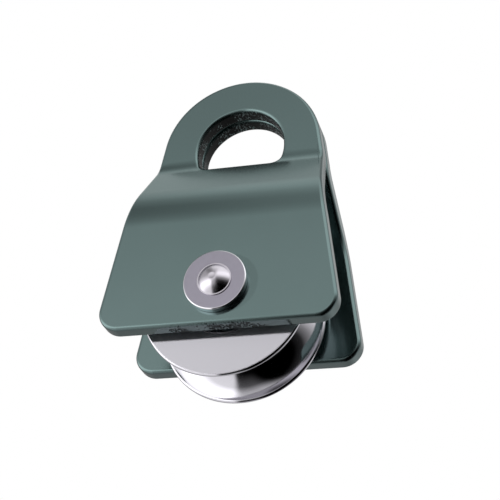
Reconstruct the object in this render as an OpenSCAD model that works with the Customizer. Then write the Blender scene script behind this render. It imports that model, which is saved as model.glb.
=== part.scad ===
// Climbing pulley with two swinging side plates, a karabiner eye and a ball-bearing sheave.
// Millimetres. The origin is the sheave's centre on the axle, Z points up to the eye,
// and the axle runs along Y with the front plate at negative Y.

/* [Side plates] */
// Thickness of each side plate
plate_t = 5.4; // [4.6:0.1:6]
// Width of the bottom edge between its unrounded corners
bottom_w = 72; // [66:1:80]
// Drop from the axle's centre to the bottom edge
bottom_drop = 12.5; // [11.5:0.5:16]
// Radius of the two bottom corners
corner_r = 6.2; // [3:0.1:9]
// Height of the eye's centre above the axle
eye_rise = 52.7; // [50:0.1:58]
// Radius of the round top
top_r = 25.1; // [23:0.1:28]
// Lean of the sloping part, measured from upright
slope_angle = 33; // [28:1:36]
// Depth of the upper crease below the eye's centre
crease_drop = 5.3; // [3:0.1:7]
// Outside radius of the lower bend
lower_bend_r = 25; // [16:0.5:28]
// Outside radius of the hollow upper bend
upper_bend_r = 8; // [4:0.5:12]
// Gap between the two plates at the eye
cheek_gap = 0.3; // [0.2:0.05:0.6]

/* [Karabiner eye] */
// Radius of the eye's round upper part
eye_r = 13.6; // [12:0.1:15]
// Depth of the eye's flat floor below its centre
eye_floor = 6.4; // [5.6:0.1:7.4]
// Radius of the eye's two lower corners
eye_corner_r = 3.6; // [2:0.1:5]

/* [Sheave] */
// Diameter of the sheave over its rims
sheave_d = 50; // [48:0.5:52]
// Width of the sheave
sheave_w = 21.2; // [20:0.2:23]
// Radius of the rope groove's round section
groove_r = 9.1; // [8.4:0.1:9.3]
// Thickness of the metal between the bearings and the groove's floor
web_t = 4.4; // [3.6:0.1:6]
// Chamfer at the mouths of the bearing seats
seat_chamfer = 0.4; // [0.2:0.1:0.8]
// Gap between each side of the sheave and its plate
side_gap = 2; // [1.5:0.1:3]

/* [Ball bearings] */
// Outer diameter of each bearing
bearing_d = 24; // [23.4:0.2:25]
// Width of each bearing
bearing_w = 6; // [5.6:0.1:7]
// Depth of each bearing's face inside the sheave's side
bearing_inset = 0.5; // [0.2:0.1:1]
// Diameter of the bearing balls
ball_d = 3.5; // [3.2:0.1:3.6]
// Number of balls in each bearing
ball_count = 10; // [8:1:11]
// Radius of the raceways as a multiple of the ball's radius
race_fit = 1.06; // [1.04:0.01:1.08]
// Height of the raceway shoulders above the raceway's floor
shoulder_h = 0.75; // [0.6:0.05:0.9]
// Thickness of the ball cage
cage_t = 1.3; // [1:0.1:1.5]
// Thickness of the cage's closed side behind the balls
cage_rib = 0.55; // [0.4:0.05:0.6]
// Reach of the cage past the middles of the balls on its open side
cage_grip = 0.9; // [0.6:0.1:1.2]
// Thickness of the bearing shields
shield_t = 0.3; // [0.2:0.05:0.4]

/* [Axle and washers] */
// Diameter of the axle between its shoulders
axle_d = 12; // [11.6:0.1:12.4]
// Diameter of the axle's ends, which pass through the washers
spigot_d = 8; // [6:0.5:9]
// Diameter of the formed heads
head_d = 10; // [9.4:0.2:12]
// Height of the formed heads
head_h = 2.5; // [1.8:0.1:3]
// Thickness of the flange round the foot of each head's dome
flange_t = 0.3; // [0.2:0.1:0.6]
// Width of that flange beyond the dome
flange_w = 0.4; // [0.2:0.1:0.8]
// Radius of the dimple on each head
dimple_r = 0.9; // [0.5:0.1:1.5]
// Depth of that dimple
dimple_depth = 0.1; // [0.05:0.05:0.2]
// Diameter of the outer washers
washer_d = 18.5; // [16:0.5:24]
// Thickness of the outer washers
washer_t = 2; // [1.2:0.1:3]
// Radius of the washers' rounded outer edge
washer_edge_r = 0.4; // [0.2:0.1:0.8]
// Diameter of the spacers between the bearings and the plates
spacer_d = 15.4; // [14.8:0.1:15.6]
// Chamfer on the spacers' outer edges
spacer_edge = 0.3; // [0.1:0.1:0.5]
// Chamfer on the edges of the bearing rings
ring_edge = 0.25; // [0.1:0.05:0.4]

/* [Clearances] */
// Radial clearance of each plate's bore on the axle
pivot_clearance = 0.05; // [0.03:0.01:0.08]
// End play of each side plate on the axle, on each of its faces
end_play = 0.1; // [0.08:0.01:0.2]
// Clearance of the balls in their raceways and in the cage
ball_clearance = 0.05; // [0.04:0.01:0.08]
// Clearance of the shields and the lip round the turning parts
shield_clearance = 0.25; // [0.15:0.05:0.3]

/* [Hidden] */
$fn = 96;

// The front of the pulley is at negative Y and the rear at positive Y.
front = -1;
rear = 1;

plate_in = sheave_w / 2 + side_gap;
plate_out = plate_in + plate_t;
cheek_in = cheek_gap / 2;
cheek_out = cheek_in + plate_t;

// Heights where the bends begin, worked out from the creases of the outer face.
upper_crease = eye_rise - crease_drop;
lower_crease = upper_crease - (plate_out - cheek_out) / tan(slope_angle);
upper_bend_z = upper_crease + upper_bend_r * tan(slope_angle / 2);
lower_bend_z = lower_crease - lower_bend_r * tan(slope_angle / 2);
lower_bend_centre = [plate_out - lower_bend_r, lower_bend_z];
upper_bend_centre = [cheek_out + upper_bend_r, upper_bend_z];

// The outline's straight sides touch the round top and the bottom corners.
corner = [bottom_w / 2, -bottom_drop];
corner_to_eye = [-corner[0], eye_rise - corner[1]];
side_angle = atan2(corner_to_eye[1], corner_to_eye[0]) - asin(top_r / norm(corner_to_eye));
corner_tangent = corner_r * tan(side_angle / 2);

// The rim's rounding touches the side face, the sheave's diameter and the groove.
groove_centre = bearing_d / 2 + web_t + groove_r;
groove_offset = groove_centre - sheave_d / 2;
rim_sum = sheave_w / 2 + groove_r - groove_offset;
rim_r = rim_sum - sqrt(rim_sum * rim_sum
    - (groove_offset * groove_offset + sheave_w * sheave_w / 4 - groove_r * groove_r));
rim_centre = [sheave_d / 2 - rim_r, sheave_w / 2 - rim_r];

bearing_out = sheave_w / 2 - bearing_inset;
bearing_in = bearing_out - bearing_w;
bearing_mid = bearing_out - bearing_w / 2;
ball_r = ball_d / 2;
pitch_r = (axle_d + bearing_d) / 4;
race_r = race_fit * ball_r;
inner_race_r = pitch_r - ball_r - ball_clearance;
outer_race_r = pitch_r + ball_r + ball_clearance;
inner_land_r = inner_race_r + shoulder_h;
outer_land_r = outer_race_r - shoulder_h;
shield_seat_r = outer_race_r - shoulder_h / 2;
shield_set_back = shield_t / 2;
lip_r = shield_seat_r + shield_clearance;
cage_back = ball_r + cage_rib;

journal_half = plate_out + end_play;
dome_h = head_h - flange_t;
dome_foot_r = head_d / 2 - flange_w;

// How far a cutting shape reaches past what it cuts.
overshoot = 1;

plate_colour = [0.40, 0.47, 0.47];
steel_colour = [0.66, 0.66, 0.68];
sheave_colour = [0.72, 0.72, 0.75];
ball_colour = [0.8, 0.8, 0.82];
cage_colour = [0.25, 0.22, 0.18];

function polar(radius, angle) = radius * [cos(angle), sin(angle)];
function mirrored(point) = [-point[0], point[1]];

// Radius of the ball whose cap has the given foot radius and height.
function cap_radius(foot_r, height) = (foot_r * foot_r + height * height) / (2 * height);

// Revolves a section of radius and length about the axle.
module turned() {
    rotate([-90, 0, 0]) rotate_extrude() children();
}

// Points along an arc between two angles, 2 degrees apart or less, both ends included.
function arc_points(centre, radius, from_angle, to_angle) =
    let (steps = ceil(abs(to_angle - from_angle) / 2))
    [for (i = [0 : steps]) centre + polar(radius, from_angle + i * (to_angle - from_angle) / steps)];

// Side view of a plate: flat lower panel, two bends with the slope between them, eye panel.
module joggle_section() {
    below = -bottom_drop - overshoot;
    above = eye_rise + top_r + overshoot;
    outer_face = concat(
        arc_points(lower_bend_centre, lower_bend_r, 0, slope_angle),
        arc_points(upper_bend_centre, upper_bend_r, 180 + slope_angle, 180));
    inner_face = concat(
        arc_points(upper_bend_centre, upper_bend_r + plate_t, 180, 180 + slope_angle),
        arc_points(lower_bend_centre, lower_bend_r - plate_t, slope_angle, 0));
    polygon(concat([[plate_out, below]], outer_face, [[cheek_out, above], [cheek_in, above]],
        inner_face, [[plate_in, below]]));
}

// Front view of a plate: round top, sides that lean outwards, rounded bottom corners.
module plate_outline() {
    corner_centre = corner + [-corner_tangent, corner_r];
    polygon(concat(
        arc_points(corner_centre, corner_r, -90, side_angle - 90),
        arc_points([0, eye_rise], top_r, side_angle - 90, 270 - side_angle),
        arc_points(mirrored(corner_centre), corner_r, 270 - side_angle, 270)));
}

// The D-shaped eye, flat at the bottom with rounded corners.
module eye_outline() {
    corner_z = eye_corner_r - eye_floor;
    corner_x = sqrt(pow(eye_r - eye_corner_r, 2) - corner_z * corner_z);
    touch_angle = atan2(corner_z, corner_x);
    polygon(concat(
        arc_points([corner_x, corner_z], eye_corner_r, -90, touch_angle),
        arc_points([0, 0], eye_r, touch_angle, 180 - touch_angle),
        arc_points([-corner_x, corner_z], eye_corner_r, 180 - touch_angle, 270)));
}

// Extrudes a front view through the whole depth of the rear plate.
module through_plate() {
    rotate([90, 0, 0]) translate([0, 0, -plate_out - overshoot])
        linear_extrude(plate_out + 2 * overshoot) children();
}

module side_plate(side) {
    color(plate_colour) mirror([0, side == front ? 1 : 0, 0]) difference() {
        intersection() {
            rotate([90, 0, 90]) translate([0, 0, -bottom_w / 2 - overshoot])
                linear_extrude(bottom_w + 2 * overshoot) joggle_section();
            through_plate() plate_outline();
        }
        through_plate() translate([0, eye_rise]) eye_outline();
        rotate([-90, 0, 0]) translate([0, 0, plate_in - overshoot])
            cylinder(h = plate_t + 2 * overshoot, r = axle_d / 2 + pivot_clearance);
    }
}

// Half of the axle's section: journal, spigot, and a formed head with a flange, a dome and a dimple.
module axle_half_section() {
    head_base = journal_half + washer_t;
    dome_r = cap_radius(dome_foot_r, dome_h);
    hollow_r = cap_radius(dimple_r, dimple_depth);
    square([axle_d / 2, journal_half]);
    square([spigot_d / 2, head_base]);
    translate([0, head_base]) square([head_d / 2, flange_t]);
    translate([0, head_base]) difference() {
        intersection() {
            translate([0, head_h - dome_r]) circle(dome_r);
            square([head_d / 2, head_h]);
        }
        translate([0, head_h - dimple_depth + hollow_r]) circle(hollow_r);
    }
}

module axle() {
    color(steel_colour) turned() {
        axle_half_section();
        mirror([0, 1]) axle_half_section();
    }
}

module washer(side) {
    edge = washer_d / 2 - washer_edge_r;
    color(steel_colour) mirror([0, side == front ? 1 : 0, 0]) turned() translate([0, journal_half])
        difference() {
            union() {
                square([edge, washer_t]);
                square([washer_d / 2, washer_t - washer_edge_r]);
                translate([edge, washer_t - washer_edge_r]) circle(washer_edge_r);
            }
            translate([-overshoot, -overshoot])
                square([overshoot + spigot_d / 2, washer_t + 2 * overshoot]);
        }
}

// A plain bush on the axle between two heights, with both outer edges broken.
module bush(from_y, to_y) {
    turned() polygon([[axle_d / 2, from_y], [spacer_d / 2 - spacer_edge, from_y],
        [spacer_d / 2, from_y + spacer_edge], [spacer_d / 2, to_y - spacer_edge],
        [spacer_d / 2 - spacer_edge, to_y], [axle_d / 2, to_y]]);
}

module spacer(side) {
    color(steel_colour) mirror([0, side == front ? 1 : 0, 0])
        bush(bearing_out, plate_in - end_play);
}

module bearing_spacer() {
    color(steel_colour) bush(-bearing_in, bearing_in);
}

// Half of the sheave's section, with its bearing seat and the lip that stops the bearing.
module sheave_half_section() {
    half_w = sheave_w / 2;
    touch = [groove_centre, 0] + (rim_centre - [groove_centre, 0]) * groove_r / (groove_r + rim_r);
    difference() {
        union() {
            polygon([[lip_r, 0], [touch[0], 0], touch, rim_centre, [rim_centre[0], half_w],
                [bearing_d / 2 + seat_chamfer, half_w], [bearing_d / 2, half_w - seat_chamfer],
                [bearing_d / 2, bearing_in], [lip_r, bearing_in]]);
            translate(rim_centre) circle(rim_r);
        }
        translate([groove_centre, 0]) circle(groove_r);
    }
}

module sheave() {
    color(sheave_colour) turned() {
        sheave_half_section();
        mirror([0, 1]) sheave_half_section();
    }
}

// Places a bearing piece, drawn about the bearing's own middle, in the front or rear bearing.
module in_bearing(side) {
    translate([0, side * bearing_mid, 0]) mirror([0, side == front ? 1 : 0, 0]) children();
}

module outer_ring(side) {
    half_w = bearing_w / 2;
    seat_y = half_w - shield_set_back - shield_t;
    bore = outer_land_r;
    rim = bearing_d / 2;
    color(steel_colour) in_bearing(side) turned() difference() {
        polygon([[bore, -seat_y], [shield_seat_r, -seat_y], [shield_seat_r, -half_w],
            [rim - ring_edge, -half_w], [rim, ring_edge - half_w], [rim, half_w - ring_edge],
            [rim - ring_edge, half_w], [shield_seat_r, half_w], [shield_seat_r, seat_y],
            [bore, seat_y]]);
        translate([outer_race_r - race_r, 0]) circle(race_r);
    }
}

module inner_ring(side) {
    half_w = bearing_w / 2;
    color(steel_colour) in_bearing(side) turned() difference() {
        polygon([[axle_d / 2, -half_w], [inner_land_r - ring_edge, -half_w],
            [inner_land_r, ring_edge - half_w], [inner_land_r, half_w - ring_edge],
            [inner_land_r - ring_edge, half_w], [axle_d / 2, half_w]]);
        translate([inner_race_r + race_r, 0]) circle(race_r);
    }
}

// Puts a copy at the middle of each ball.
module at_balls() {
    for (i = [0 : ball_count - 1])
        rotate([0, i * 360 / ball_count, 0]) translate([pitch_r, 0, 0]) children();
}

module balls(side) {
    color(ball_colour) in_bearing(side) at_balls() sphere(ball_r);
}

// Crown cage: a ring with radial pockets, each open on one side so that its ball snaps in.
module ball_cage(side) {
    color(cage_colour) in_bearing(side) difference() {
        turned() translate([pitch_r - cage_t / 2, -cage_grip]) square([cage_t, cage_grip + cage_back]);
        at_balls() rotate([0, 90, 0])
            cylinder(h = 2 * cage_t, r = ball_r + ball_clearance, center = true);
    }
}

module shield(side, face) {
    color(steel_colour) in_bearing(side) mirror([0, face == front ? 1 : 0, 0]) turned()
        translate([inner_land_r + shield_clearance, bearing_w / 2 - shield_set_back - shield_t])
            square([shield_seat_r - inner_land_r - shield_clearance, shield_t]);
}

side_plate(rear);  // rear_side_plate
side_plate(front);  // front_side_plate
axle();
washer(front);  // front_washer
washer(rear);  // rear_washer
spacer(front);  // front_spacer
spacer(rear);  // rear_spacer
bearing_spacer();
sheave();
outer_ring(front);  // front_outer_ring
inner_ring(front);  // front_inner_ring
balls(front);  // front_balls
ball_cage(front);  // front_ball_cage
shield(front, rear);  // front_outside_shield
shield(front, front);  // front_inside_shield
outer_ring(rear);  // rear_outer_ring
inner_ring(rear);  // rear_inner_ring
balls(rear);  // rear_balls
ball_cage(rear);  // rear_ball_cage
shield(rear, rear);  // rear_outside_shield
shield(rear, front);  // rear_inside_shield
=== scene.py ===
"""Looks of the climbing pulley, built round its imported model."""

import math

import bpy
import numpy as np
from mathutils import Matrix, Vector
from mathutils.geometry import delaunay_2d_cdt


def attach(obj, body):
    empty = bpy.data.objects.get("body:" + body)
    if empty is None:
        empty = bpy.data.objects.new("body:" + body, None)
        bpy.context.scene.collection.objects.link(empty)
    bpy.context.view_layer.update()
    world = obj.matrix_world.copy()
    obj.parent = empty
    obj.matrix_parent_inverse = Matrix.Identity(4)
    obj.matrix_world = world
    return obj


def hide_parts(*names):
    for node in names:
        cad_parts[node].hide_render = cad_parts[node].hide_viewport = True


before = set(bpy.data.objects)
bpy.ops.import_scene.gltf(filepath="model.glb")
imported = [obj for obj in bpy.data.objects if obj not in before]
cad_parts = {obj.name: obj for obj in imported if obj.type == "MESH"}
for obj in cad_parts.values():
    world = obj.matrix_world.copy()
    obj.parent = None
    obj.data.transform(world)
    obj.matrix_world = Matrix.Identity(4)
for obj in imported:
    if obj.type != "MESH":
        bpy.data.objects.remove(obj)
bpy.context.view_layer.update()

# Sizes of the pulley are in millimetres, and new_mesh() makes them metres.
MM = 0.001

# Camera
CAMERA_AT = (110.54, -333.26, -170.40)
CAMERA_AIM = (2.37, 3.45, 21.79)
CAMERA_ROLL = 3.75
CAMERA_LENS = 96.3
SENSOR = 36.0

# Side plates
PLATE_T = 5.4
CHEEK_IN = 0.15
CHEEK_OUT = CHEEK_IN + PLATE_T
PLATE_OUT = 18.0
BOTTOM_Z = -12.5
BOTTOM_W = 72.0
CORNER_R = 6.2
EYE_Z = 52.7
TOP_R = 25.1
LEAN = math.radians(33)
UPPER_CREASE = 47.4
LOWER_BEND_R = 25.0
UPPER_BEND_R = 8.0
EYE_R = 13.6
EYE_FLOOR = 6.4
EYE_CORNER_R = 3.6
EDGE_R = 1.15
LOWER_CREASE = UPPER_CREASE - (PLATE_OUT - CHEEK_OUT) / math.tan(LEAN)
LOWER_BEND_Z = LOWER_CREASE - LOWER_BEND_R * math.tan(LEAN / 2)
UPPER_BEND_Z = UPPER_CREASE + UPPER_BEND_R * math.tan(LEAN / 2)

# Share of an edge's rounding that is as smooth as the faces, how deep the punch tore the cut edges,
# and where the bottom edge has its strokes. The eye's value is more than its tear marks need: it also
# paints the eye's rim wall near black as painted shade.
SMOOTH_SHARE = 0.3
EYE_TORN_AND_SHADED = 1.4
BORE_TORN = 1.0
BOTTOM_TORN = 0.75
STROKES_FROM = -14.0
STROKES_TO = 17.0

# Spacing of the points inside a plate's faces, and how near they come to a rim
FACE_STEP_X = 1.9
FACE_STEP_Z = 1.1
RIM_GAP = 0.8

# Sheave
SHEAVE_R = 25.0
SHEAVE_HALF_W = 10.6
GROOVE_R = 9.1
GROOVE_CENTRE = 25.5
SEAT_R = 12.0
SEAT_END = 4.1
LIP_R = 10.675
SEAT_CHAMFER = 0.4

# Axle, washers and bushes
AXLE_R = 6.0
BORE_R = 6.05
JOURNAL_HALF = 18.1
SPIGOT_R = 4.0
WASHER_R = 9.25
WASHER_T = 2.0
WASHER_EDGE_R = 0.4
HEAD_R = 5.0
FLANGE_T = 0.3
DOME_FOOT_R = 4.6
DOME_R = 5.91
SPACER_R = 7.7
SPACER_FROM = 10.1
SPACER_TO = 12.5

# Bearings
BALL_R = 1.75
BALL_COUNT = 10
PITCH_R = 9.0
BEARING_MID = 7.1


class Pen:
    """Draws an outline on a plane as straight stretches and arcs, each one tangent to the last."""

    def __init__(self, at, heading):
        self.at = np.array(at, float)
        self.heading = math.radians(heading)
        self.points = []

    def mark(self):
        normal = (math.sin(self.heading), -math.cos(self.heading))
        self.points.append((self.at[0], self.at[1], normal[0], normal[1]))

    def line(self, length, step=1000.0):
        ahead = np.array((math.cos(self.heading), math.sin(self.heading)))
        start = self.at
        count = max(1, math.ceil(length / step))
        for i in range(count):
            self.at = start + ahead * length * i / count
            self.mark()
        self.at = start + ahead * length
        return self

    def arc(self, radius, turn, step=4.0):
        side = math.copysign(1.0, turn)
        first = self.heading
        to_centre = np.array((-math.sin(first), math.cos(first))) * radius * side
        centre = self.at + to_centre
        count = max(1, math.ceil(abs(turn) / step))
        for i in range(count + 1):
            self.heading = first + math.radians(turn) * i / count
            self.at = centre + np.array((math.sin(self.heading), -math.cos(self.heading))) * radius * side
            if i < count:
                self.mark()
        return self

    def end(self):
        self.mark()
        return self.points


def new_mesh(name, vertices, normals, faces, attributes=None):
    """A mesh object in metres, smooth, with the given vertex normals and float attributes."""
    mesh = bpy.data.meshes.new(name)
    mesh.from_pydata([Vector(v) * MM for v in vertices], [], faces)
    mesh.shade_smooth()
    for key, values in (attributes or {}).items():
        attribute = mesh.attributes.new(key, "FLOAT", "POINT")
        attribute.data.foreach_set("value", np.array(values, np.float32))
    mesh.normals_split_custom_set_from_vertices([Vector(n).normalized() for n in normals])
    mesh.update()
    piece = bpy.data.objects.new(name, mesh)
    bpy.context.scene.collection.objects.link(piece)
    return piece


def revolve(name, outline, closed, turns=192, mirror_y=False):
    """Turns an outline of (radius, y, normal) points about the axle, with its outside to its right."""
    vertices, normals, faces = [], [], []
    rings = []
    side = -1.0 if mirror_y else 1.0
    for radius, y, normal_r, normal_y in outline:
        if radius < 1e-6:
            rings.append([len(vertices)] * turns)
            vertices.append((0, side * y, 0))
            normals.append((0, side * normal_y, 0))
            continue
        rings.append(list(range(len(vertices), len(vertices) + turns)))
        for i in range(turns):
            angle = 2 * math.pi * i / turns
            c, s = math.cos(angle), math.sin(angle)
            vertices.append((radius * c, side * y, radius * s))
            normals.append((normal_r * c, side * normal_y, normal_r * s))
    pairs = list(zip(rings, rings[1:]))
    if closed:
        pairs.append((rings[-1], rings[0]))
    for low, high in pairs:
        for i in range(turns):
            j = (i + 1) % turns
            face = list(dict.fromkeys((low[i], high[i], high[j], low[j])))
            faces.append(face[::-1] if mirror_y else face)
    return new_mesh(name, vertices, normals, faces)


def outer_face(z):
    """Depth of a plate's outer face at a height, and its lean from upright."""
    if z <= LOWER_BEND_Z:
        return PLATE_OUT, 0.0
    if z >= UPPER_BEND_Z:
        return CHEEK_OUT, 0.0
    if z < LOWER_BEND_Z + LOWER_BEND_R * math.sin(LEAN):
        lean = math.asin((z - LOWER_BEND_Z) / LOWER_BEND_R)
        return PLATE_OUT - LOWER_BEND_R * (1 - math.cos(lean)), lean
    if z > UPPER_BEND_Z - UPPER_BEND_R * math.sin(LEAN):
        lean = math.asin((UPPER_BEND_Z - z) / UPPER_BEND_R)
        return CHEEK_OUT + UPPER_BEND_R * (1 - math.cos(lean)), lean
    return PLATE_OUT - (z - LOWER_CREASE) * math.tan(LEAN), LEAN


def sheet_point(x, z, depth):
    """A point of the rear plate at a depth below its outer face."""
    y, lean = outer_face(z)
    return x, y - depth * math.cos(lean), z - depth * math.sin(lean)


def sheet_normal(x, z, across, along, face):
    """A direction on the rear plate from its parts across, along and out of the sheet."""
    lean = outer_face(z)[1]
    return (
        across,
        face * math.cos(lean) - along * math.sin(lean),
        face * math.sin(lean) + along * math.cos(lean),
    )


def plate_outline():
    """The plate's outline, counterclockwise."""
    corner = np.array((BOTTOM_W / 2, BOTTOM_Z))
    to_eye = np.array((0, EYE_Z)) - corner
    distance = np.linalg.norm(to_eye)
    side = math.degrees(math.atan2(to_eye[1], to_eye[0]) - math.asin(TOP_R / distance))
    tangent = CORNER_R * math.tan(math.radians(side) / 2)
    side_length = math.sqrt(distance ** 2 - TOP_R ** 2) - tangent
    pen = Pen((0, BOTTOM_Z), 0)
    pen.line(BOTTOM_W / 2 - tangent, 2.0).arc(CORNER_R, side, 5.0).line(side_length, 1.0)
    pen.arc(TOP_R, 2 * (180 - side), 2.5)
    pen.line(side_length, 1.0).arc(CORNER_R, side, 5.0).line(BOTTOM_W / 2 - tangent, 2.0)
    return pen.points


def hole(points):
    """Turns an outline into a hole's rim, whose outside is the hole."""
    return [(x, z, -nx, -nz) for x, z, nx, nz in points]


def eye_outline():
    """The D-shaped eye's rim, from the middle of its flat floor."""
    corner_z = EYE_CORNER_R - EYE_FLOOR
    corner_x = math.sqrt((EYE_R - EYE_CORNER_R) ** 2 - corner_z ** 2)
    touch = math.degrees(math.atan2(corner_z, corner_x))
    pen = Pen((0, EYE_Z - EYE_FLOOR), 0)
    pen.line(corner_x, 1.5).arc(EYE_CORNER_R, 90 + touch, 6.0).arc(EYE_R, 180 - 2 * touch, 4.0)
    pen.arc(EYE_CORNER_R, 90 + touch, 6.0).line(corner_x, 1.5)
    return hole(pen.points)


def bore_outline():
    """The rim of the hole that the axle passes through."""
    return hole(Pen((0, -BORE_R), 0).arc(BORE_R, 360, 6.0).points)


def edge_steps():
    """Inset, depth and tilt of the loops that go round a plate's edge."""
    steps = []
    count = 5
    for i in range(count + 1):
        tilt = math.radians(90 * i / count)
        steps.append((EDGE_R * (1 - math.sin(tilt)), EDGE_R * (1 - math.cos(tilt)), tilt))
    band = PLATE_T - 2 * EDGE_R
    for share in (0.33, 0.67):
        steps.append((0.0, EDGE_R + share * band, math.pi / 2))
    for inset, depth, tilt in steps[count::-1]:
        steps.append((inset, PLATE_T - depth, math.pi - tilt))
    return steps


def fill_face(loops):
    """Triangles that fill a face between its outer loop and its holes, and the extra points used."""
    points, edges = [], []
    for loop in loops:
        first = len(points)
        points += [Vector(p) for p in loop]
        edges += [(first + i, first + (i + 1) % len(loop)) for i in range(len(loop))]
    rim = np.array([(p.x, p.y) for p in points])
    loop_count = len(points)
    for z in np.arange(BOTTOM_Z, EYE_Z + TOP_R, FACE_STEP_Z):
        for x in np.arange(-BOTTOM_W / 2, BOTTOM_W / 2, FACE_STEP_X):
            if np.min(np.hypot(rim[:, 0] - x, rim[:, 1] - z)) > RIM_GAP and in_plate(x, z):
                points.append(Vector((x, z)))
    out_points, _, out_faces, origins, _, _ = delaunay_2d_cdt(points, edges, [], 0, 1e-6)
    source = [o[0] for o in origins]
    triangles = []
    for face in out_faces:
        centre = sum((out_points[i] for i in face), Vector((0, 0))) / len(face)
        if in_plate(centre.x, centre.y):
            triangles.append([source[i] for i in face])
    return triangles, [(p.x, p.y) for p in points[loop_count:]]


def inside_loop(loop, x, z):
    """Whether a point lies inside a closed loop."""
    inside = False
    for (x0, z0), (x1, z1) in zip(loop, loop[1:] + loop[:1]):
        if (z0 > z) != (z1 > z) and x < x0 + (z - z0) * (x1 - x0) / (z1 - z0):
            inside = not inside
    return inside


def inset(outline, distance):
    """The points of an outline, moved inwards."""
    return [(x - distance * nx, z - distance * nz) for x, z, nx, nz in outline]


PLATE_OUTLINES = [plate_outline(), eye_outline(), bore_outline()]
FACE_LOOPS = [inset(outline, EDGE_R) for outline in PLATE_OUTLINES]


def in_plate(x, z):
    """Whether a point lies on a plate's flat face."""
    outer, *holes = FACE_LOOPS
    return inside_loop(outer, x, z) and not any(inside_loop(rim, x, z) for rim in holes)


def outer_torn(x, nz):
    """How deep the tear marks of the outer edge are at a place. Only the middle of the bottom edge has
    strokes.
    """
    faces_down = nz < -0.9
    return BOTTOM_TORN if faces_down and STROKES_FROM < x < STROKES_TO else 0.0


def side_plate(name, side):
    """A joggled plate with rounded edges. Attribute edge_band is 1 on its cut edges, and a second
    attribute says how deep their tear marks are, and on the eye's rim also how much painted shade it gets."""
    vertices, normals, faces, band, sheared_and_shaded = [], [], [], [], []

    def add(x, z, nx, nz, depth, tilt, torn_and_shaded=None):
        vertices.append(sheet_point(x, z, depth))
        spread = math.sin(tilt)
        normals.append(sheet_normal(x, z, nx * spread, nz * spread, math.cos(tilt)))
        on_cut = EDGE_R * SMOOTH_SHARE < depth < PLATE_T - EDGE_R * SMOOTH_SHARE
        band.append(max(0.0, spread * 2.0 - 1.0) if on_cut else 0.0)
        sheared_and_shaded.append(outer_torn(x, nz) if torn_and_shaded is None else torn_and_shaded)

    face_ids = [[], []]
    # Each rim's tear marks; the eye's value also carries painted shade for its rim wall.
    for outline, torn_and_shaded in zip(PLATE_OUTLINES, (None, EYE_TORN_AND_SHADED, BORE_TORN)):
        loop_ids = []
        for distance, depth, tilt in edge_steps():
            first = len(vertices)
            for x, z, nx, nz in outline:
                add(x - distance * nx, z - distance * nz, nx, nz, depth, tilt, torn_and_shaded)
            loop_ids.append(list(range(first, len(vertices))))
        face_ids[0] += loop_ids[0]
        face_ids[1] += loop_ids[-1]
        for low, high in zip(loop_ids, loop_ids[1:]):
            for i in range(len(low)):
                j = (i + 1) % len(low)
                faces.append((low[i], low[j], high[j], high[i]))
    triangles, extra = fill_face(FACE_LOOPS)
    for face, depth, tilt in ((0, 0.0, 0.0), (1, PLATE_T, math.pi)):
        first = len(vertices)
        for x, z in extra:
            add(x, z, 0, 0, depth, tilt)
        face_ids[face] += list(range(first, len(vertices)))
        faces += [[face_ids[face][i] for i in triangle] for triangle in triangles]
    if side < 0:
        vertices = [(x, -y, z) for x, y, z in vertices]
        normals = [(x, -y, z) for x, y, z in normals]
    faces = [outward(face, vertices, normals) for face in faces]
    return new_mesh(name, vertices, normals, faces, {"edge_band": band, "sheared_and_shaded": sheared_and_shaded})


def outward(face, vertices, normals):
    """The face, turned round if needed so that it winds with its vertices' normals."""
    a, b, c = (np.array(vertices[i]) for i in face[:3])
    wanted = sum(np.array(normals[i]) for i in face)
    return list(face) if np.dot(np.cross(b - a, c - a), wanted) > 0 else list(face)[::-1]


def sheave_outline():
    """The sheave's section, counterclockwise from the middle of its bore."""
    reach = GROOVE_CENTRE - SHEAVE_R
    total = SHEAVE_HALF_W + GROOVE_R - reach
    rim_r = total - math.sqrt(total ** 2 - (reach ** 2 + SHEAVE_HALF_W ** 2 - GROOVE_R ** 2))
    rim_at = np.array((SHEAVE_R - rim_r, SHEAVE_HALF_W - rim_r))
    rim_turn = 90 + math.degrees(math.atan2(rim_at[1], GROOVE_CENTRE - rim_at[0]))
    small, fine = 0.15, 0.01
    chamfer = SEAT_CHAMFER * math.sqrt(2)
    pen = Pen((LIP_R, 0), -90)
    pen.line(SEAT_END - small).arc(small, 90, 30).line(SEAT_R - LIP_R - 2 * small).arc(small, -90, 30)
    pen.line(SHEAVE_HALF_W - SEAT_END - small - SEAT_CHAMFER)
    pen.arc(fine, 45, 45).line(chamfer).arc(fine, 45, 45)
    pen.line(rim_at[0] - pen.at[0], 3.0).arc(rim_r, rim_turn, 8.0)
    pen.arc(GROOVE_R, -2 * (rim_turn - 90), 3.0).arc(rim_r, rim_turn, 8.0)
    pen.line(rim_at[0] - SEAT_R - SEAT_CHAMFER - fine, 3.0)
    pen.arc(fine, 45, 45).line(chamfer).arc(fine, 45, 45)
    pen.line(SHEAVE_HALF_W - SEAT_END - small - SEAT_CHAMFER)
    pen.arc(small, -90, 30).line(SEAT_R - LIP_R - 2 * small).arc(small, 90, 30)
    pen.line(SEAT_END - small)
    return pen.points


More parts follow.
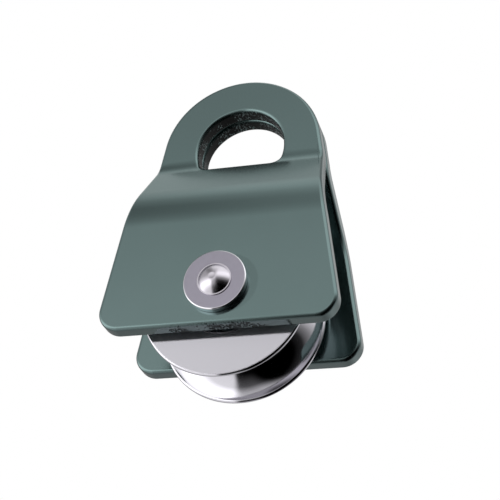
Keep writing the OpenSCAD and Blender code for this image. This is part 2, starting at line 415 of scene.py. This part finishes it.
def axle_outline():
    """Half of the axle's section, from its middle to the pole of its rear head."""
    shoulder, fine, flange_edge, foot = 0.2, 0.05, 0.08, 0.12
    dome_slope = math.degrees(math.asin(DOME_FOOT_R / DOME_R))
    crest_slope, hollow_slope, crest_r = 11.0, 8.0, 0.6
    pen = Pen((AXLE_R, 0), 90)
    pen.line(JOURNAL_HALF - shoulder).arc(shoulder, 90, 20)
    pen.line(AXLE_R - SPIGOT_R - shoulder - fine).arc(fine, -90, 30)
    pen.line(WASHER_T - 2 * fine).arc(fine, -90, 30)
    pen.line(HEAD_R - SPIGOT_R - fine - flange_edge).arc(flange_edge, 90, 15)
    pen.line(FLANGE_T - 2 * flange_edge).arc(flange_edge, 90, 15)
    foot_width = foot * math.sin(math.radians(dome_slope))
    pen.line(HEAD_R - flange_edge - DOME_FOOT_R - foot_width).arc(foot, -dome_slope, 10)
    pen.arc(DOME_R, dome_slope - crest_slope, 1.5).arc(crest_r, crest_slope + hollow_slope, 3)
    pen.arc(pen.at[0] / math.sin(math.radians(hollow_slope)), -hollow_slope, 1.0)
    return pen.points + [(0.0, pen.at[1], 0.0, 1.0)]


def axle():
    """The whole axle, with a formed head at each end."""
    half = axle_outline()
    front = [(r, -y, nr, -ny) for r, y, nr, ny in reversed(half[1:])]
    return revolve("axle_pin", front + half, closed=False)


def washer(name, side):
    """A washer between the journal's shoulder and a head, on one side of the pulley."""
    bore_edge, back_edge = 0.08, 0.2
    pen = Pen((SPIGOT_R + bore_edge, JOURNAL_HALF), 0)
    pen.line(WASHER_R - SPIGOT_R - bore_edge - back_edge, 3.0).arc(back_edge, 90, 15)
    pen.line(WASHER_T - back_edge - WASHER_EDGE_R).arc(WASHER_EDGE_R, 90, 10)
    pen.line(WASHER_R - WASHER_EDGE_R - SPIGOT_R - bore_edge, 1.5).arc(bore_edge, 90, 30)
    pen.line(WASHER_T - 2 * bore_edge).arc(bore_edge, 90, 30)
    return revolve(name, pen.points, closed=True, mirror_y=side < 0)


def bush(name, from_y, to_y):
    """A plain bush on the axle."""
    edge, bore_edge = 0.3, 0.1
    half_bore = (to_y - from_y) / 2 - bore_edge
    end_width = SPACER_R - AXLE_R - bore_edge - edge
    pen = Pen((AXLE_R, (from_y + to_y) / 2), -90)
    pen.line(half_bore).arc(bore_edge, 90, 30).line(end_width)
    pen.arc(edge, 90, 15).line(to_y - from_y - 2 * edge).arc(edge, 90, 15)
    pen.line(end_width).arc(bore_edge, 90, 30).line(half_bore)
    return revolve(name, pen.points, closed=True, turns=96)


def ball_tree(finish):
    """Geometry nodes that set a ring of balls round the axle."""
    tree = bpy.data.node_groups.new("ring_of_balls", "GeometryNodeTree")
    inputs = {}
    for label, kind, value in (
        ("Balls", "NodeSocketInt", BALL_COUNT),
        ("Pitch radius", "NodeSocketFloat", PITCH_R * MM),
        ("Ball radius", "NodeSocketFloat", BALL_R * MM),
        ("Along the axle", "NodeSocketFloat", 0.0),
    ):
        socket = tree.interface.new_socket(label, in_out="INPUT", socket_type=kind)
        socket.default_value = value
        inputs[label] = socket.identifier
    tree.interface.new_socket("Geometry", in_out="OUTPUT", socket_type="NodeSocketGeometry")
    node, link = tree.nodes.new, tree.links.new
    group_in = node("NodeGroupInput")
    circle = node("GeometryNodeMeshCircle")
    link(group_in.outputs["Balls"], circle.inputs["Vertices"])
    link(group_in.outputs["Pitch radius"], circle.inputs["Radius"])
    ball = node("GeometryNodeMeshIcoSphere")
    ball.inputs["Subdivisions"].default_value = 4
    link(group_in.outputs["Ball radius"], ball.inputs["Radius"])
    smooth = node("GeometryNodeSetShadeSmooth")
    link(ball.outputs["Mesh"], smooth.inputs["Geometry"])
    place = node("GeometryNodeInstanceOnPoints")
    link(circle.outputs["Mesh"], place.inputs["Points"])
    link(smooth.outputs["Geometry"], place.inputs["Instance"])
    turn = node("GeometryNodeTransform")
    turn.inputs["Rotation"].default_value = (math.pi / 2, 0, 0)
    link(place.outputs["Instances"], turn.inputs["Geometry"])
    along = node("ShaderNodeCombineXYZ")
    link(group_in.outputs["Along the axle"], along.inputs["Y"])
    link(along.outputs["Vector"], turn.inputs["Translation"])
    solid = node("GeometryNodeRealizeInstances")
    link(turn.outputs["Geometry"], solid.inputs["Geometry"])
    paint = node("GeometryNodeSetMaterial")
    paint.inputs["Material"].default_value = finish
    link(solid.outputs["Geometry"], paint.inputs["Geometry"])
    link(paint.outputs["Geometry"], node("NodeGroupOutput").inputs["Geometry"])
    return tree, inputs


def ring_of_balls(name, y, tree, inputs):
    """A bearing's balls, as a plain mesh."""
    carrier = bpy.data.objects.new(name + "_carrier", bpy.data.meshes.new(name + "_carrier"))
    bpy.context.scene.collection.objects.link(carrier)
    modifier = carrier.modifiers.new("balls", "NODES")
    modifier.node_group = tree
    modifier[inputs["Along the axle"]] = y * MM
    graph = bpy.context.evaluated_depsgraph_get()
    mesh = bpy.data.meshes.new_from_object(carrier.evaluated_get(graph))
    bpy.data.objects.remove(carrier)
    piece = bpy.data.objects.new(name, mesh)
    bpy.context.scene.collection.objects.link(piece)
    return piece


def srgb(red, green, blue):
    """A colour given as 0 to 255 screen values, in Blender's linear values."""
    def linear(value):
        value /= 255
        return value / 12.92 if value <= 0.04045 else ((value + 0.055) / 1.055) ** 2.4
    return linear(red), linear(green), linear(blue), 1.0


class Graph:
    """Short ways to add and join the nodes of a shader."""

    def __init__(self, tree):
        self.nodes = tree.nodes
        self.links = tree.links

    def set(self, socket, value):
        """Gives a socket a plain value or joins it to another socket."""
        if isinstance(value, bpy.types.NodeSocket):
            self.links.new(value, socket)
        else:
            socket.default_value = value

    def add(self, kind, inputs=None, **settings):
        node = self.nodes.new(kind)
        for key, value in settings.items():
            setattr(node, key, value)
        for key, value in (inputs or {}).items():
            self.set(node.inputs[key], value)
        return node

    def math(self, operation, first, second=0.0):
        return self.add("ShaderNodeMath", {0: first, 1: second}, operation=operation).outputs[0]

    def spread(self, value, low, high, from_low=0.0, from_high=1.0, smooth=False):
        """Maps a value from one range to another."""
        inputs = {"Value": value, "From Min": from_low, "From Max": from_high, "To Min": low, "To Max": high}
        kind = "SMOOTHSTEP" if smooth else "LINEAR"
        return self.add("ShaderNodeMapRange", inputs, interpolation_type=kind).outputs["Result"]

    def mix(self, factor, first, second):
        """Blends two colours."""
        return self.add("ShaderNodeMix", {0: factor, 6: first, 7: second}, data_type="RGBA").outputs[2]

    def split(self, vector):
        return self.add("ShaderNodeSeparateXYZ", {"Vector": vector}).outputs

    def ramp(self, value, stops):
        """Grey levels at positions along a value from 0 to 1."""
        node = self.add("ShaderNodeValToRGB", {"Fac": value})
        stretch = node.color_ramp.elements
        stretch.remove(stretch[-1])
        for i, (position, level) in enumerate(stops):
            stop = stretch[0] if i == 0 else stretch.new(position)
            stop.position = position
            stop.color = (level, level, level, 1)
        return node.outputs["Color"]


class Finish(Graph):
    """A material under construction."""

    def __init__(self, name, roughness=0.5, metallic=0.0, colour=(0.8, 0.8, 0.8, 1.0)):
        self.material = bpy.data.materials.new(name)
        self.material.use_nodes = True
        super().__init__(self.material.node_tree)
        self.shader = self.nodes["Principled BSDF"]
        self.feed("Roughness", roughness)
        self.feed("Metallic", metallic)
        self.feed("Base Color", colour)
        self.place = self.add("ShaderNodeTexCoord").outputs["Object"]

    def feed(self, socket, value):
        self.set(self.shader.inputs[socket], value)

    def noise(self, scale, detail=4.0, roughness=0.55, vector=None):
        inputs = {"Vector": vector or self.place, "Scale": scale, "Detail": detail, "Roughness": roughness}
        return self.add("ShaderNodeTexNoise", inputs).outputs["Fac"]

    def stretched(self, x, y, z):
        """Object coordinates, each multiplied by its own factor."""
        inputs = {0: self.place, 1: (x, y, z)}
        return self.add("ShaderNodeVectorMath", inputs, operation="MULTIPLY").outputs["Vector"]

    def turned_marks(self, scale):
        """Fine rings about the axle, as a lathe leaves them."""
        x, y, z = self.split(self.place)
        square = self.math("ADD", self.math("MULTIPLY", x, x), self.math("MULTIPLY", z, z))
        rings = self.add("ShaderNodeCombineXYZ", {"X": self.math("SQRT", square), "Y": y})
        return self.noise(scale, 3.0, 0.6, rings.outputs["Vector"])

    def relief(self, height, distance, strength=1.0):
        bump = self.add("ShaderNodeBump", {"Height": height, "Distance": distance, "Strength": strength})
        self.feed("Normal", bump.outputs["Normal"])


def plate_finish():
    """Grey-green anodised plate, semi-gloss, smooth outside, with near-black tear marks where a punch cut it
    and painted shade on the eye's rim wall.
    """
    finish = Finish("grey_green_plate")
    face = finish.mix(finish.noise(45.0, 3.0), srgb(107, 127, 126), srgb(113, 133, 132))
    on_edge = finish.add("ShaderNodeAttribute", attribute_name="edge_band").outputs["Fac"]
    sheared_and_shaded = finish.add("ShaderNodeAttribute", attribute_name="sheared_and_shaded").outputs["Fac"]
    strokes = finish.noise(2000.0, 2.0, 0.6, finish.stretched(1.0, 0.5, 1.0))
    patches = finish.spread(finish.noise(150.0, 1.0), -0.14, 0.04, 0.45, 0.6, smooth=True)
    depth = finish.math("ADD", strokes, finish.math("ADD", patches, finish.math("MULTIPLY", sheared_and_shaded, 0.34)))
    # The near-black colour marks tears on the cut edges, and over nearly the whole eye rim wall it is
    # painted shade.
    torn_and_shaded = finish.math("MULTIPLY", finish.spread(depth, 0.0, 1.0, 0.72, 0.80), on_edge)
    cut = finish.mix(on_edge, face, srgb(96, 112, 112))
    finish.feed("Base Color", finish.mix(torn_and_shaded, cut, srgb(10, 12, 12)))
    finish.feed("Metallic", 0.85)
    finish.feed("Roughness", finish.spread(torn_and_shaded, 0.16, 0.5))
    grain = finish.math("MULTIPLY", finish.noise(1500.0, 2.0), 0.04)
    finish.relief(finish.math("SUBTRACT", grain, torn_and_shaded), 0.00006)
    return finish.material


def sheave_finish():
    """Turned metal: satin side faces, polished rims and groove."""
    finish = Finish("turned_sheave", colour=srgb(216, 214, 221))
    y = finish.split(finish.place)[1]
    side = SHEAVE_HALF_W * MM
    on_side = finish.spread(finish.math("ABSOLUTE", y), 0.0, 1.0, side - 0.0001, side - 0.00002)
    finish.feed("Metallic", finish.spread(on_side, 1.0, 0.05))
    finish.feed("Roughness", finish.spread(on_side, 0.1, 0.42))
    marks = finish.math("MULTIPLY", finish.turned_marks(5200.0), finish.spread(on_side, 0.12, 1.0))
    finish.relief(marks, 0.00002)
    return finish.material


def steel_finish(name, colour, roughness, ring_scale, ring_depth):
    """Turned or polished steel with fine rings about the axle."""
    finish = Finish(name, metallic=1.0, colour=colour)
    smears = finish.noise(700.0, 3.0, 0.6)
    finish.feed("Roughness", finish.spread(smears, roughness * 0.85, roughness * 1.15))
    finish.relief(finish.turned_marks(ring_scale), ring_depth)
    return finish.material


def washer_finish():
    """Satin turned face inside a smoother rim, painted lighter than the face as a painted highlight."""
    finish = Finish("satin_washer", metallic=1.0)
    x, _, z = finish.split(finish.place)
    square = finish.math("ADD", finish.math("MULTIPLY", x, x), finish.math("MULTIPLY", z, z))
    rim = (WASHER_R - WASHER_EDGE_R) * MM
    on_rim = finish.spread(finish.math("SQRT", square), 0.0, 1.0, rim - 0.00003, rim + 0.00006)
    face = finish.mix(finish.noise(500.0, 3.0, 0.6), srgb(163, 159, 171), srgb(172, 168, 181))
    # The rim's lighter colour is a painted highlight along the washer's rounded edge; its lower roughness is
    # real polish.
    finish.feed("Base Color", finish.mix(on_rim, face, srgb(222, 221, 226)))
    finish.feed("Roughness", finish.spread(on_rim, 0.3, 0.1))
    marks = finish.math("MULTIPLY", finish.turned_marks(4200.0), finish.spread(on_rim, 1.0, 0.1))
    finish.relief(marks, 0.000014)
    return finish.material


def cage_finish():
    """Moulded dark polyamide."""
    finish = Finish("moulded_cage")
    finish.feed("Base Color", finish.mix(finish.noise(800.0), srgb(42, 38, 34), srgb(58, 52, 46)))
    finish.relief(finish.noise(3000.0, 2.0), 0.00001)
    return finish.material


def dress(piece, finish, body, slot, *nodes):
    """Gives a made piece its finish, and puts it on its body in place of its nodes."""
    piece.data.materials.clear()
    piece.data.materials.append(finish)
    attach(piece, body)
    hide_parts(*nodes)
    return piece


def paint_node(name, finish):
    """Gives a carried-over node its finish."""
    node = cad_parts[name]
    node.data.materials.clear()
    node.data.materials.append(finish)


def place_camera():
    """The photograph's viewpoint, in front of the pulley, below it and to its right."""
    camera = bpy.data.objects.new("camera", bpy.data.cameras.new("camera"))
    bpy.context.scene.collection.objects.link(camera)
    at, aim = Vector(CAMERA_AT) * MM, Vector(CAMERA_AIM) * MM
    level = (aim - at).to_track_quat("-Z", "Y").to_matrix().to_4x4()
    roll = Matrix.Rotation(math.radians(CAMERA_ROLL), 4, "Z")
    camera.matrix_world = Matrix.Translation(at) @ level @ roll
    camera.data.sensor_width = SENSOR
    camera.data.lens = CAMERA_LENS
    camera.data.clip_start = 0.01
    bpy.context.scene.camera = camera


# Lamps, in metres and watts
LAMP_AWAY = (0.90, 0.62)
LAMP_Z = 0.09
LAMP_SIZE = 0.05
LAMP_POWER = 16.0


def lamp(name, side):
    """A small square lamp that lights the front plate, at side -1, or the rear one, at side 1."""
    at = Vector((side * LAMP_AWAY[0], side * LAMP_AWAY[1], LAMP_Z))
    light = bpy.data.lights.new(name, "AREA")
    light.size = LAMP_SIZE
    light.energy = LAMP_POWER
    holder = bpy.data.objects.new(name, light)
    holder.location = at
    holder.rotation_euler = (-at).to_track_quat("-Z", "Y").to_euler()
    holder.visible_glossy = False
    bpy.context.scene.collection.objects.link(holder)


# Light level of the studio round the pulley, by elevation in degrees, on each of its sides.
# The front wall goes from FRONT_FROM at its left to FRONT_TO at its right.
ELEVATIONS = (-90, -60, -35, -15, 0, 12, 20, 27, 35, 45, 56, 66, 74, 90)
FRONT_FROM = (0.00, 0.04, 0.10, 0.50, 0.60, 1.00, 1.05, 0.84, 0.48, 0.28, 0.22, 0.44, 0.96, 1.05)
FRONT_TO = (0.00, 0.04, 0.10, 0.50, 0.60, 1.00, 1.05, 0.84, 0.64, 0.52, 0.56, 0.74, 0.98, 1.05)
FRONT_LEFT = (0.80, 0.95, 1.00, 2.00, 2.00, 1.05, 0.80, 0.55, 0.50, 0.47, 0.47, 0.47, 0.47, 0.47)
FRONT_RIGHT = (0.00, 0.00, 0.00, 0.00, 0.02, 0.26, 0.60, 1.20, 1.50, 1.55, 1.20, 1.15, 1.20, 1.20)
REAR = (0.40, 0.50, 0.50, 0.50, 0.40, 0.45, 0.45, 0.40, 0.40, 0.60, 1.00, 1.00, 0.66, 0.60)
REAR_LEFT = (0.70, 0.60, 0.45, 0.45, 0.30, 0.35, 0.40, 0.40, 0.45, 0.50, 0.48, 0.47, 0.46, 0.46)
REAR_RIGHT = (0.00, 0.00, 0.15, 0.80, 0.60, 0.50, 0.60, 0.70, 0.80, 0.70, 0.50, 0.34, 0.40, 0.40)
AMBIENT = 0.03


def studio_world():
    """White to the camera, with bright and dark walls round the pulley for its metal to reflect."""
    world = bpy.data.worlds.new("studio")
    world.use_nodes = True
    bpy.context.scene.world = world
    graph = Graph(world.node_tree)
    graph.nodes.clear()
    x, y, z = graph.split(graph.add("ShaderNodeTexCoord").outputs["Generated"])
    height = graph.spread(z, 0.0, 1.0, -1.0, 1.0)

    heights = [(math.sin(math.radians(elevation)) + 1) / 2 for elevation in ELEVATIONS]

    def wall(levels):
        return graph.ramp(height, list(zip(heights, levels)))

    def past(value, start, end):
        return graph.spread(value, 0.0, 1.0, start, end, smooth=True)

    climb = graph.math("MULTIPLY", graph.math("MAXIMUM", z, 0.0), 0.4)
    left = past(graph.math("ADD", x, climb), -0.25, -0.36)
    right = past(x, -0.05, 0.2)
    middle = graph.mix(past(x, -0.37, -0.17), wall(FRONT_FROM), wall(FRONT_TO))
    front = graph.mix(left, graph.mix(right, middle, wall(FRONT_RIGHT)), wall(FRONT_LEFT))
    rear = graph.mix(left, graph.mix(right, wall(REAR), wall(REAR_RIGHT)), wall(REAR_LEFT))
    studio = graph.mix(past(y, 0.0, 0.25), front, rear)
    ray = graph.add("ShaderNodeLightPath").outputs
    studio = graph.mix(ray["Is Glossy Ray"], (AMBIENT, AMBIENT, AMBIENT, 1.0), studio)
    studio = graph.mix(ray["Is Camera Ray"], studio, (1.0, 1.0, 1.0, 1.0))
    background = graph.add("ShaderNodeBackground", {"Color": studio})
    graph.add("ShaderNodeOutputWorld", {"Surface": background.outputs[0]})


def pale_floor():
    """A plain floor well below the hanging pulley, pale to the camera and shaded by the lamps."""
    half, z = 3.0, -0.32
    shade = 0.68
    mesh = bpy.data.meshes.new("floor")
    corners = [(-half, -half, z), (half, -half, z), (half, half, z), (-half, half, z)]
    mesh.from_pydata(corners, [], [(0, 1, 2, 3)])
    floor = bpy.data.objects.new("floor", mesh)
    bpy.context.scene.collection.objects.link(floor)
    finish = Finish("floor_white", roughness=0.8)
    finish.feed("Base Color", finish.mix(finish.noise(2.0), (0.29, 0.29, 0.29, 1), (0.31, 0.31, 0.31, 1)))
    finish.feed("Emission Color", (shade, shade, shade, 1.0))
    finish.feed("Emission Strength", finish.add("ShaderNodeLightPath").outputs["Is Camera Ray"])
    mesh.materials.append(finish.material)
    floor.visible_glossy = False
    floor.visible_diffuse = False


place_camera()
studio_world()
pale_floor()
lamp("key", -1)
lamp("back", 1)

plate_paint = plate_finish()
polished = steel_finish("polished_head", srgb(210, 206, 214), 0.24, 2500.0, 0.000004)
satin = washer_finish()
ground = steel_finish("ground_steel", srgb(205, 204, 208), 0.22, 3800.0, 0.000008)
pressed = steel_finish("pressed_shield", srgb(176, 176, 180), 0.32, 1800.0, 0.00001)
ball_steel = steel_finish("ball_steel", srgb(225, 225, 228), 0.06, 2000.0, 0.000002)
cage = cage_finish()

dress(side_plate("front_cheek", -1), plate_paint, "front_plate", "plate", "front_side_plate")
dress(side_plate("rear_cheek", 1), plate_paint, "rear_plate", "plate", "rear_side_plate")
wheel = revolve("grooved_sheave", sheave_outline(), closed=True, turns=256)
dress(wheel, sheave_finish(), "sheave", "sheave", "sheave")
dress(axle(), polished, "axle", "axle", "axle")
dress(washer("front_disc", -1), satin, "axle", "washer", "front_washer")
dress(washer("rear_disc", 1), satin, "axle", "washer", "rear_washer")
dress(bush("front_bush", -SPACER_TO, -SPACER_FROM), ground, "axle", "bush", "front_spacer")
dress(bush("rear_bush", SPACER_FROM, SPACER_TO), ground, "axle", "bush", "rear_spacer")
dress(bush("middle_bush", -SEAT_END, SEAT_END), ground, "axle", "bush", "bearing_spacer")

balls_tree, ball_inputs = ball_tree(ball_steel)
for end, y in (("front", -BEARING_MID), ("rear", BEARING_MID)):
    balls = ring_of_balls(end + "_ball_ring", y, balls_tree, ball_inputs)
    dress(balls, ball_steel, end + "_cage", "ball_steel", end + "_balls")
    paint_node(end + "_ball_cage", cage)
    paint_node(end + "_outer_ring", ground)
    paint_node(end + "_inner_ring", ground)
    paint_node(end + "_outside_shield", pressed)
    paint_node(end + "_inside_shield", pressed)

bpy.context.scene.view_settings.view_transform = "Standard"
